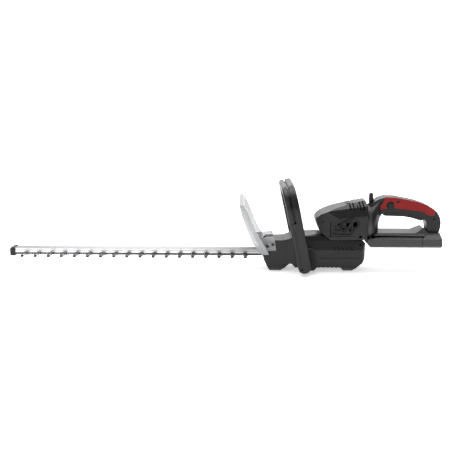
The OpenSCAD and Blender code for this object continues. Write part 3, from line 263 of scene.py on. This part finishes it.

# %% [markdown]
# ## Finishes
# ### Spark-textured glass-filled nylon
# Casings are moulded in nylon filled with glass. The mould is spark-eroded, so the skin has a fine even
# grain about a third of a millimetre across that breaks up any reflection. Hands and hedges polish the raised
# edges first, so a mask finds the edges and makes them a little paler and smoother. The paler colour is partly
# that wear and partly a painted highlight. In creases and slots the colour falls to near black, a painted
# shade.

# %% Moulded plastics
def worn_and_highlit_edges(finish, width=0.0012):
    """1 on a sharp edge and 0 on a flat, from how far a rounded normal leans away from the true one."""
    true = finish.node("ShaderNodeNewGeometry", output="Normal")
    rounded = finish.node("ShaderNodeBevel", {"samples": 4}, {"Radius": width})
    alike = finish.node("ShaderNodeVectorMath", {"operation": "DOT_PRODUCT"}, {0: true, 1: rounded}, "Value")
    return ((1 - alike) * 2.5).clamp()


def moulded(name, colour, rough=0.38, grain=0.00034, depth=0.00004, wear_and_highlight=0.35):
    made = Finish(name, colour, Specular_IOR_Level=0.34)
    drift = made.cloud(0.045, 3.0)
    fine = made.cloud(grain, 2.0)
    paler = tuple(min(1.0, 2.2 * c + 0.012) for c in colour)
    darker = tuple(0.82 * c for c in colour)
    # Paler edges: partly wear and partly a painted highlight along every sharp edge.
    edge = worn_and_highlit_edges(made) * (0.55 + 0.9 * made.cloud(0.006)) * wear_and_highlight
    body = made.blend(drift, darker, tuple(1.12 * c for c in colour))
    # Painted shade: where the occlusion mask falls, in creases, slots and under parts, the colour is blended
    # towards near black.
    outside_painted_shade = made.hollow(0.012) ** 1.6
    tint = made.blend(outside_painted_shade, (0.0012, 0.0012, 0.0012), made.blend(edge.clamp(), body, paler))
    gloss = rough + 0.10 * (drift - 0.5) + 0.06 * (fine - 0.5) - 0.10 * edge
    return made.feed(base_color=tint, roughness=gloss.clamp(), normal=made.bump(fine, depth))


finishes = {
    "moulded_black": moulded("nylon_charcoal", (0.009, 0.009, 0.0094)),
    "dark_trim": moulded("nylon_black", (0.003, 0.003, 0.0031), rough=0.36),
    "grey_moulding": moulded("nylon_grey", (0.042, 0.042, 0.043), rough=0.42),
    "bush_plastic": moulded("acetal_ivory", (0.55, 0.53, 0.47), rough=0.34, depth=0.00001, wear_and_highlight=0.1),
    "red_latch": moulded("nylon_red", (0.36, 0.012, 0.014), rough=0.36, depth=0.00002),
}
print("plastics:", sorted(finishes))

# %% [markdown]
# ### Soft skins
# The rear grip has a second, softer plastic moulded over it. It is duller than nylon, and carries a pattern
# of small raised beads that stop a wet glove from slipping. The foot pads are plain black rubber with bloom.

# %% Grip skin and rubber
def soft_skin(name, colour, pitch=0.0016, rough=0.62):
    made = Finish(name, colour, Specular_IOR_Level=0.25, Sheen_Weight=0.05, Sheen_Roughness=0.5)
    beads = made.node("ShaderNodeTexVoronoi", {"feature": "SMOOTH_F1"}, {
        "Vector": made.place(), "Scale": 1.0 / pitch, "Randomness": 0.25, "Smoothness": 0.3}, "Distance")
    grime = made.cloud(0.02, 4.0)
    dark = tuple(0.72 * c for c in colour)
    tint = made.blend((grime * 1.3 - 0.3).clamp(), colour, dark)
    # Painted shade: the colour darkens between the raised beads, in the low ground of the pattern.
    shade = made.blend((beads * 1.2 - 0.35).clamp(), tint, tuple(0.8 * c for c in colour))
    return made.feed(base_color=shade, roughness=(rough + 0.15 * (grime - 0.5)).clamp(),
                     normal=made.bump(1 - beads, 0.00009, made.bump(made.cloud(0.0003), 0.00002)))


finishes["red_grip"] = soft_skin("soft_red", (0.27, 0.010, 0.011))
finishes["rubber_pad"] = soft_skin("soft_black", (0.016, 0.016, 0.017), pitch=0.0009, rough=0.7)
print("skins ready")

# %% [markdown]
# ### Metals
# The guide bar is an aluminium extrusion. Drawing it through its die leaves fine lines along its length, so
# the noise is stretched a hundredfold along X. The blades are punched from spring steel and blackened, and
# grinding then brings the cutting bevels back to bright metal.

# %% Metals
def metal(name, colour, rough, stretch=(1, 1, 1), line=0.0004, depth=0.00001, dirt=0.25, metallic=1.0):
    made = Finish(name, colour, Metallic=metallic)
    lines = made.cloud(line, 3.0, made.stretched(*stretch))
    spots = made.cloud(0.03, 5.0)
    dull = tuple(0.62 * c for c in colour)
    tint = made.blend((dirt * (spots * 2.4 - 0.7)).clamp(), colour, dull)
    gloss = rough + 0.14 * (lines - 0.5) + 0.12 * (spots - 0.5)
    return made.feed(base_color=tint, roughness=gloss.clamp(), normal=made.bump(lines, depth))


def ground_blade(name):
    """Black flats, and bright metal on the sloping facets that the grinding wheel has cut."""
    made = Finish(name, (0.05, 0.05, 0.052), Metallic=1.0)
    slope = made.upward().abs()
    ground = (slope > 0.12) * (slope < 0.96)
    wheel = made.cloud(0.0005, 2.0, made.stretched(1, 0.08, 1))
    smear = made.cloud(0.02, 4.0)
    black = made.blend(smear, (0.030, 0.030, 0.032), (0.075, 0.075, 0.078))
    bright = made.blend(wheel, (0.42, 0.42, 0.43), (0.66, 0.66, 0.67))
    gloss = 0.40 - 0.16 * ground + 0.14 * (wheel - 0.5)
    return made.feed(base_color=made.blend(ground, black, bright), roughness=gloss.clamp(),
                     normal=made.bump(wheel, 0.00002))


def drawn_bar(name):
    """Drawn aluminium: a die line runs along the upright side. The top is rougher, rubbed dull by leaves, and
    its colour is a painted dark reflection with sap blotches; towards the case the whole bar is painted darker,
    a painted reflection gradient.
    """
    made = Finish(name, (0.6, 0.6, 0.61), Metallic=1.0)
    lines = made.cloud(0.0005, 3.0, made.stretched(0.01, 1, 1))
    sap = made.cloud(0.05, 5.0, made.stretched(0.5, 1, 1))
    # Painted reflection: faces that look up take a darker colour, the dark reflection seen on the top of the
    # bar.
    top = (made.upward() * 1.6 - 0.4).clamp()
    side = made.blend(lines, (0.60, 0.60, 0.61), (0.76, 0.76, 0.77))
    sap_and_painted_reflection = made.blend(sap, (0.30, 0.30, 0.305), (0.42, 0.42, 0.425))
    # Painted reflection: towards the case the side takes the darker top colour and the top goes darker still.
    painted_reflection_fade = ((made.along("X") + 0.12) * 6.0).clamp()
    tint = made.blend(painted_reflection_fade, made.blend(top, side, sap_and_painted_reflection), made.blend(top, sap_and_painted_reflection, (0.22, 0.22, 0.225)))
    return made.feed(base_color=tint, roughness=(0.30 + 0.16 * top + 0.14 * (lines - 0.5)).clamp(),
                     normal=made.bump(lines, 0.00001))


finishes["black_oxide"] = metal("black_oxide_screws", (0.045, 0.045, 0.048), 0.38, line=0.0008)
finishes.update({
    "bar_aluminium": drawn_bar("drawn_aluminium"),
    "cast_aluminium": metal("die_cast", (0.60, 0.60, 0.61), 0.48, line=0.0012, depth=0.00004),
    "blade_steel": ground_blade("blackened_steel"),
    "bright_steel": metal("turned_steel", (0.68, 0.68, 0.69), 0.26),
    "gear_steel": metal("hobbed_steel", (0.46, 0.46, 0.47), 0.32, (1, 1, 0.1)),
    "magnet": metal("sintered_ferrite", (0.10, 0.10, 0.105), 0.55, metallic=0.3),
    "bronze": metal("porous_bronze", (0.55, 0.36, 0.16), 0.40, line=0.0005),
    "winding": metal("lacquered_copper", (0.62, 0.24, 0.09), 0.30, (1, 1, 0.05), 0.0006, 0.00006),
    "carbon": metal("pressed_carbon", (0.03, 0.03, 0.032), 0.5, metallic=0.2),
})
print("finishes:", len(finishes))

# %% [markdown]
# ### The last few
# The hand shield is clear plastic with a faint smoke tint. It shows mostly at its edges, where light that
# entered the face comes out. The board's lacquer is green, and the cells wear a printed shrink sleeve.

# %% Clear shield, board and cell wrap
def clear_plastic(name):
    made = Finish(name, (0.62, 0.63, 0.65), Roughness=0.12, IOR=1.45, Transmission_Weight=0.0)
    haze = made.cloud(0.05, 3.0)
    facing = made.node("ShaderNodeLayerWeight", values={"Blend": 0.45}, output="Facing")
    grazing = (facing * 1.5 - 0.35).clamp()
    opacity = 0.46 + 0.42 * grazing + 0.06 * haze
    sheet = made.blend(haze, (0.40, 0.405, 0.415), (0.50, 0.505, 0.515))
    return made.feed(base_color=made.blend(grazing, sheet, (0.20, 0.205, 0.21)),
                     alpha=opacity.clamp(), roughness=0.10 + 0.10 * haze)


finishes["clear_shield"] = clear_plastic("clear_smoke")
finishes["board_green"] = moulded("solder_mask", (0.02, 0.14, 0.05), rough=0.3, grain=0.002)
finishes["cell_wrap"] = moulded("cell_sleeve", (0.05, 0.16, 0.34), rough=0.28, grain=0.003, depth=0.00001)

# %% Dress the frame
dark_screws = ("body_screws", "shield_screws", "handle_screws", "loop_screws")
for part in frame["record"]["subparts"]:
    dress = nodes[part["node"]].data.materials
    dress.clear()
    dress.append(finishes["black_oxide" if part["node"] in dark_screws else part["material_slot"]])

# %% [markdown]
# ## Softened edges
# A real moulding has no perfectly sharp edge: the mould is rounded so that plastic flows and fingers don't
# catch. Each outer CAD node gets modifiers that merge its triangles back into flat faces, round every edge by
# a width that suits its size, and then spread the shading evenly. The CAD mesh under them is untouched.

# %% Rounding by modifiers
def soften(name, width, segments=2, angle=24, flat=1.2):
    node = nodes[name]
    weld = node.modifiers.new("weld", "WELD")
    weld.merge_threshold = 0.00002
    flats = node.modifiers.new("flats", "DECIMATE")
    flats.decimate_type = "DISSOLVE"
    flats.angle_limit = math.radians(flat)
    edges = node.modifiers.new("edges", "BEVEL")
    edges.width = width
    edges.segments = segments
    edges.limit_method = "ANGLE"
    edges.angle_limit = math.radians(angle)
    edges.use_clamp_overlap = True
    edges.harden_normals = True
    even = node.modifiers.new("even", "WEIGHTED_NORMAL")
    even.keep_sharp = True


SHELL_EDGE, TRIM_EDGE, BLADE_EDGE = 1.6 * MM, 1.2 * MM, 0.4 * MM
for name, width in {
    "body_shell_left": SHELL_EDGE, "body_shell_right": SHELL_EDGE,
    "motor_cover_left": SHELL_EDGE, "motor_cover_right": SHELL_EDGE,
    "vent_panel_left": 0.6 * MM, "vent_panel_right": 0.6 * MM, "loop_pads": 1.0 * MM,
    "swivel_collar": 2.0 * MM, "swivel_release": TRIM_EDGE,
    "rear_handle_left": 3.0 * MM, "rear_handle_right": 3.0 * MM,
    "grip_left": 0.8 * MM, "grip_right": 0.8 * MM, "trigger": 2.0 * MM, "lock_off_button": 1.0 * MM,
    "battery_bay": TRIM_EDGE, "battery_case": TRIM_EDGE, "battery_latch": 0.6 * MM,
    "hand_shield": 1.0 * MM, "guide_bar": 0.6 * MM, "tip_guard": 1.5 * MM,
    "upper_blade": BLADE_EDGE, "lower_blade": BLADE_EDGE,
}.items():
    soften(name, width)
print("softened")

# %% [markdown]
# ## Shade screens behind the slots
# A sheet of near-black, woven-looking mesh sits behind each group of slots as a painted shade for the dark
# inside of the housing. Without it the slots would show daylight from the far side. Each screen is a sheet
# 0.4 mm thick with a woven bump.

# %% Painted-shade screens behind the slots
WIRES_PER_METRE = 260.0


# A near-black woven look for the sheets that paint shade behind the slots.
def woven(name):
    made = Finish(name, (0.003, 0.003, 0.003), Specular_IOR_Level=0.15)
    weave = {"Vector": made.place(), "Scale": WIRES_PER_METRE}
    warp = made.node("ShaderNodeTexWave", {"bands_direction": "X"}, weave, "Fac")
    weft = made.node("ShaderNodeTexWave", {"bands_direction": "Z"}, weave, "Fac")
    cloth = (warp + weft) * 0.5
    return made.feed(base_color=made.blend(cloth, (0.001, 0.001, 0.001), (0.006, 0.006, 0.006)),
                     roughness=0.6 + 0.2 * cloth, normal=made.bump(cloth, 0.0001))


def slab(name, corners, y0, y1, finish, body="chassis"):
    """A flat plate with its corners at (x, z), standing upright between y0 and y1."""
    count = len(corners)
    points = [(x, y, z) for y in (y0, y1) for x, z in corners]
    faces = [tuple(range(count)), tuple(reversed(range(count, 2 * count)))]
    faces += [(k, count + k, count + (k + 1) % count, (k + 1) % count) for k in range(count)]
    made = mesh_object(name, points, faces)
    face_outwards(made)
    made.data.materials.append(finish)
    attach(made, body)
    return made


def folded(name, line, x0, x1, climb, side, finish):
    """A sheet bent along a line of (y, z) points, running from x0 to x1 and climbing with x."""
    points = [(x, side * y, z + (x - x0) * climb) for x in (x0, x1) for y, z in line]
    count = len(line)
    made = mesh_object(name, points, [(k, k + 1, count + k + 1, count + k) for k in range(count - 1)])
    sheet = made.modifiers.new("sheet", "SOLIDIFY")
    sheet.thickness, sheet.offset = 0.4 * MM, 0.0
    made.data.materials.append(finish)
    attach(made, "chassis")
    return made


# Painted shade: near-black sheets behind the slots stand in for the shaded inside of the body and the pod.
painted_shade_cloth = woven("black_shade_gauze")
shell_low, shell_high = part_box("body_shell_left")
pod_low, pod_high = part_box("motor_cover_left")
POD_CLIMB = math.tan(math.radians(8))
for side, hand in ((-1, "_left"), (1, "_right")):
    wall_y = abs(shell_low.y) - 2.4 * MM
    x0, x1 = shell_high.x - 0.080, shell_high.x - 0.022
    slab("body_shade_screen" + hand, [(x0, 0.052), (x1, 0.052), (x1, 0.0635), (x0, 0.0635)],
         side * (wall_y - 0.2 * MM), side * (wall_y + 0.2 * MM), painted_shade_cloth)
    x0, x1 = pod_low.x + 0.03, pod_high.x - 0.03
    slab("pod_shade_screen" + hand, [(x0, 0.094), (x1, 0.094), (x1, 0.134), (x0, 0.134)],
         side * 0.0298, side * 0.0302, painted_shade_cloth)
    x0, x1 = pod_low.x + 0.072, pod_high.x - 0.004
    axis_z = 0.114 - (pod_high.x - x0) * POD_CLIMB
    line = [(y, axis_z + z) for y, z in ((0.0375, 0.028), (0.032, 0.0413), (0.016, 0.0533), (0.010, 0.0533))]
    folded("roof_shade_screen" + hand, line, x0, x1, POD_CLIMB, side, painted_shade_cloth)
# The screens are painted shade for the inside of the housing.
print("painted-shade screens behind the slots of the body and the pod")

# %% [markdown]
# ## Ribs over the vents, and the side recess
# The motor's air inlet is guarded by a truss of slim ribs. Ribs at different angles stiffen the panel more
# than a plain grid would, and still leave most of the area open. Below it, a slightly glossier plate in the
# darker black lines the floor of the side recess, as a painted shade in the recess. Both are flat plates cut
# to outline and set flush.

# %% Truss ribs and recess shade plates
def ribs(name, lines, width, y0, y1, finish):
    """Bars of one width along lines of (x, z) points, all in one mesh between y0 and y1."""
    points, faces = [], []
    for (xa, za), (xb, zb) in lines:
        along = Vector((xb - xa, zb - za)).normalized()
        across = Vector((-along.y, along.x)) * width / 2
        ends = [(xa + across.x, za + across.y), (xb + across.x, zb + across.y),
                (xb - across.x, zb - across.y), (xa - across.x, za - across.y)]
        k = len(points)
        points += [(x, y, z) for y in (y0, y1) for x, z in ends]
        faces += [tuple(k + i for i in face) for face in (
            (0, 1, 2, 3), (7, 6, 5, 4), (0, 4, 5, 1), (1, 5, 6, 2), (2, 6, 7, 3), (3, 7, 4, 0))]
    made = mesh_object(name, points, faces)
    face_outwards(made)
    made.data.materials.append(finish)
    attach(made, "chassis")
    return made


truss = [((71, 132), (86, 119)), ((86, 119), (70, 91)), ((30, 108), (71, 132)), ((22, 92), (70, 91)),
         ((22, 92), (30, 108)), ((40, 113), (36, 92)), ((36, 92), (55, 122)), ((55, 122), (54, 92)),
         ((54, 92), (71, 131)), ((71, 131), (70, 92)), ((29, 101), (78, 107))]
panel_x = pod_low.x + 12 * MM
case_at = shell_high.x - 134.98 * MM
recess = [(30.6, 33.6), (122.4, 34.6), (122.4, 50.4), (62, 51.4), (58.4, 45.6), (52, 42.4), (30.6, 41.4)]
for side, hand in ((-1, "_left"), (1, "_right")):
    lines = [tuple((panel_x + x * MM, z * MM) for x, z in line) for line in truss]
    ribs("truss_ribs" + hand, lines, 1.9 * MM, side * 42.6 * MM, side * 44.4 * MM, finishes["moulded_black"])
    # Painted shade: a plate in the darker black lines the floor of each side recess.
    floor_y = abs(shell_low.y) - 1.4 * MM
    slab("recess_shade_plate" + hand, [(case_at + x * MM, z * MM) for x, z in recess],
         side * (floor_y - 0.3 * MM), side * (floor_y + 0.2 * MM), finishes["dark_trim"])
print("ribs in each truss:", len(truss))

# %% [markdown]
# ## The loop handle
# The front hand holds the loop anywhere round its length, so its edges are generously rounded. It is one long
# sweep: a rounded section travels up one leg, over the top and down the other. Above the switch bar's ends the
# section loses its front third, which makes the seat that the bar moves in. Sweeping rings of points gives
# full control of the section at each place, which a bevelled box couldn't.

# %% Rings, sweeps and the lean of the loop
def rounded_ring(x0, x1, t, front, rear, notch=0.0, steps=5):
    """Points (x, n) round a section: x from front to rear, n outward, with a notch in the outer face."""
    centres = [(x1 - rear, t / 2 - rear, rear, 90, 0), (x1 - rear, rear - t / 2, rear, 0, -90),
               (x0 + front, front - t / 2, front, 270, 180), (x0 + front, t / 2 - front, front, 180, 90)]
    ring = []
    for cx, cn, r, start, end in centres:
        for k in range(steps + 1):
            turn = math.radians(start + (end - start) * k / steps)
            ring.append((cx + r * math.cos(turn), cn + r * math.sin(turn)))
    a, b = x0 + max(front, 3 * MM), x0 + max(front, 3 * MM) + 6 * MM
    ring += [(a, t / 2), (a, t / 2 - notch), (b, t / 2 - notch), (b, t / 2)]
    return ring


def swept(name, places, rings, sharp=32):
    """Joins rings of (x, n) points, one at each place (point, outward), into a closed skin."""
    verts, faces, count = [], [], len(rings[0])
    for (point, outward), ring in zip(places, rings):
        verts += [(x, point[0] + n * outward[0], point[1] + n * outward[1]) for x, n in ring]
    for k in range(len(rings) - 1):
        for i in range(count):
            j = (i + 1) % count
            faces.append((k * count + i, k * count + j, (k + 1) * count + j, (k + 1) * count + i))
    faces.append(tuple(range(count)))
    last = (len(rings) - 1) * count
    faces.append(tuple(last + i for i in reversed(range(count))))
    made = mesh_object(name, verts, faces, True)
    skin = bmesh.new()
    skin.from_mesh(made.data)
    bmesh.ops.remove_doubles(skin, verts=skin.verts, dist=0.00001)
    bmesh.ops.dissolve_degenerate(skin, dist=0.00001, edges=skin.edges)
    bmesh.ops.recalc_face_normals(skin, faces=skin.faces)
    skin.to_mesh(made.data)
    skin.free()
    made.data.set_sharp_from_angle(angle=math.radians(sharp))
    return made


LEAN = math.radians(12.5)
LOOP_DEPTH, LOOP_THICK, HALF, FOOT, TOP = 30 * MM, 23 * MM, 100 * MM, 80.2 * MM, 205.63 * MM
CORNER = 52 * MM
foot_at = Vector((0.20857, 0, 0.012))
leaning = Matrix.Translation(foot_at) @ Matrix.Rotation(-LEAN, 4, "Y")


def loop_path(inset, start=0.0, steps=14):
    """Places (point, outward) along one leg, over the top and down, inset from the outer edge."""
    half, foot, corner, top = HALF - inset, FOOT - inset, CORNER - inset, TOP - inset
    side = top - corner
    leg = [(foot, z) for z in (start, 4 * MM, 8 * MM, 12 * MM) if z >= start]
    climb = [(foot + (half - foot) * t, 12 * MM + (side - 12 * MM) * t) for t in (k / 12 for k in range(1, 13))]
    points = leg + [p for p in climb if p[1] > start]
    for k in range(1, steps + 1):
        turn = math.radians(90 * k / steps)
        points.append((half - corner + corner * math.cos(turn), side + corner * math.sin(turn)))
    points.append((0.0, top))
    points += [(-y, z) for y, z in reversed(points[:-1])]
    places = []
    for k, p in enumerate(points):
        before, after = points[max(k - 1, 0)], points[min(k + 1, len(points) - 1)]
        along = Vector((after[0] - before[0], after[1] - before[1])).normalized()
        places.append((p, (along[1], -along[0])))
    return places


print("loop leans", round(math.degrees(LEAN), 1), "degrees; path has", len(loop_path(0.0)), "places")

# %% Loop moulding
def loop_moulding():
    seat, back = 124.6 * MM, -14.6 * MM
    places, rings = [], []
    for point, outward in loop_path(LOOP_THICK / 2):
        z = point[1]
        if z < 11 * MM:
            pull = 11 * MM - math.sqrt(max(0.0, (11 * MM) ** 2 - (11 * MM - max(z, 0.3 * MM)) ** 2))
            ring = rounded_ring(-LOOP_DEPTH + pull, -pull, LOOP_THICK, 3 * MM, 4.5 * MM)
        elif z < seat:
            ring = rounded_ring(-LOOP_DEPTH, 0, LOOP_THICK, 5 * MM, 7 * MM, 2.2 * MM if z < 108 * MM else 0.0)
        else:
            ring = rounded_ring(back, 0, LOOP_THICK, 1.2 * MM, 6.2 * MM)
        if rings and (places[-1][0][1] < seat) != (z < seat):
            up = z >= seat
            full = rounded_ring(-LOOP_DEPTH, 0, LOOP_THICK, 5 * MM, 7 * MM)
            slim = rounded_ring(back, 0, LOOP_THICK, 1.2 * MM, 6.2 * MM)
            before = places[-1][0]
            share = (seat - before[1]) / (z - before[1])
            at = (tuple(a + share * (b - a) for a, b in zip(before, point)), outward)
            places += [at, at]
            rings += [full, slim] if up else [slim, full]
        places.append((point, outward))
        rings.append(ring)
    made = swept("loop_moulding", places, rings)
    made.data.transform(leaning)
    return made


loop = loop_moulding()
loop.data.materials.append(finishes["moulded_black"])
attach(loop, "chassis")
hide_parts("loop_shell")
print("loop moulding:", len(loop.data.polygons), "faces, box",
      [[round(v, 4) for v in (loop.matrix_world @ Vector(loop.bound_box[k]))] for k in (0, 6)])

# %% [markdown]
# The switch bar is the front third of the loop's upper half. Its front edges are rounder than its back ones,
# because fingers wrap over them. A darker tongue stands behind it in the gap that lets it move, as a painted
# shade for that gap.

# %% Switch bar and gap-shade tongue
def loop_arc(name, inset, thick, x0, x1, start, front, rear):
    places = loop_path(inset + thick / 2, 12 * MM)
    first = next(k for k, p in enumerate(places) if p[0][1] > start)
    (low_y, low_z), (high_y, high_z) = places[first - 1][0], places[first][0]
    foot_y = low_y + (high_y - low_y) * (start - low_z) / (high_z - low_z)
    near, far = ((foot_y, start), places[first][1]), ((-foot_y, start), places[-first - 1][1])
    places = [near] + places[first:-first] + [far]
    ring = rounded_ring(x0, x1, thick, front, rear)
    made = swept(name, places, [ring] * len(places))
    made.data.transform(leaning)
    return made


switch_bar = loop_arc("switch_bar_moulding", 0.4 * MM, LOOP_THICK - 0.8 * MM, -30 * MM, -18 * MM,
                      125.4 * MM, 5.5 * MM, 1.6 * MM)
switch_bar.data.materials.append(finishes["moulded_black"])
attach(switch_bar, "switch_bar")
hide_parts("front_switch_bar")
# Painted shade: the darker tongue fills the gap behind the switch bar.
gap_shade_tongue = loop_arc("loop_gap_shade", 5.5 * MM, LOOP_THICK - 11 * MM, -21.9 * MM, -12 * MM, 126 * MM, 1 * MM, 1 * MM)
gap_shade_tongue.data.materials.append(finishes["dark_trim"])
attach(gap_shade_tongue, "chassis")
print("switch bar:", len(switch_bar.data.polygons), "faces")
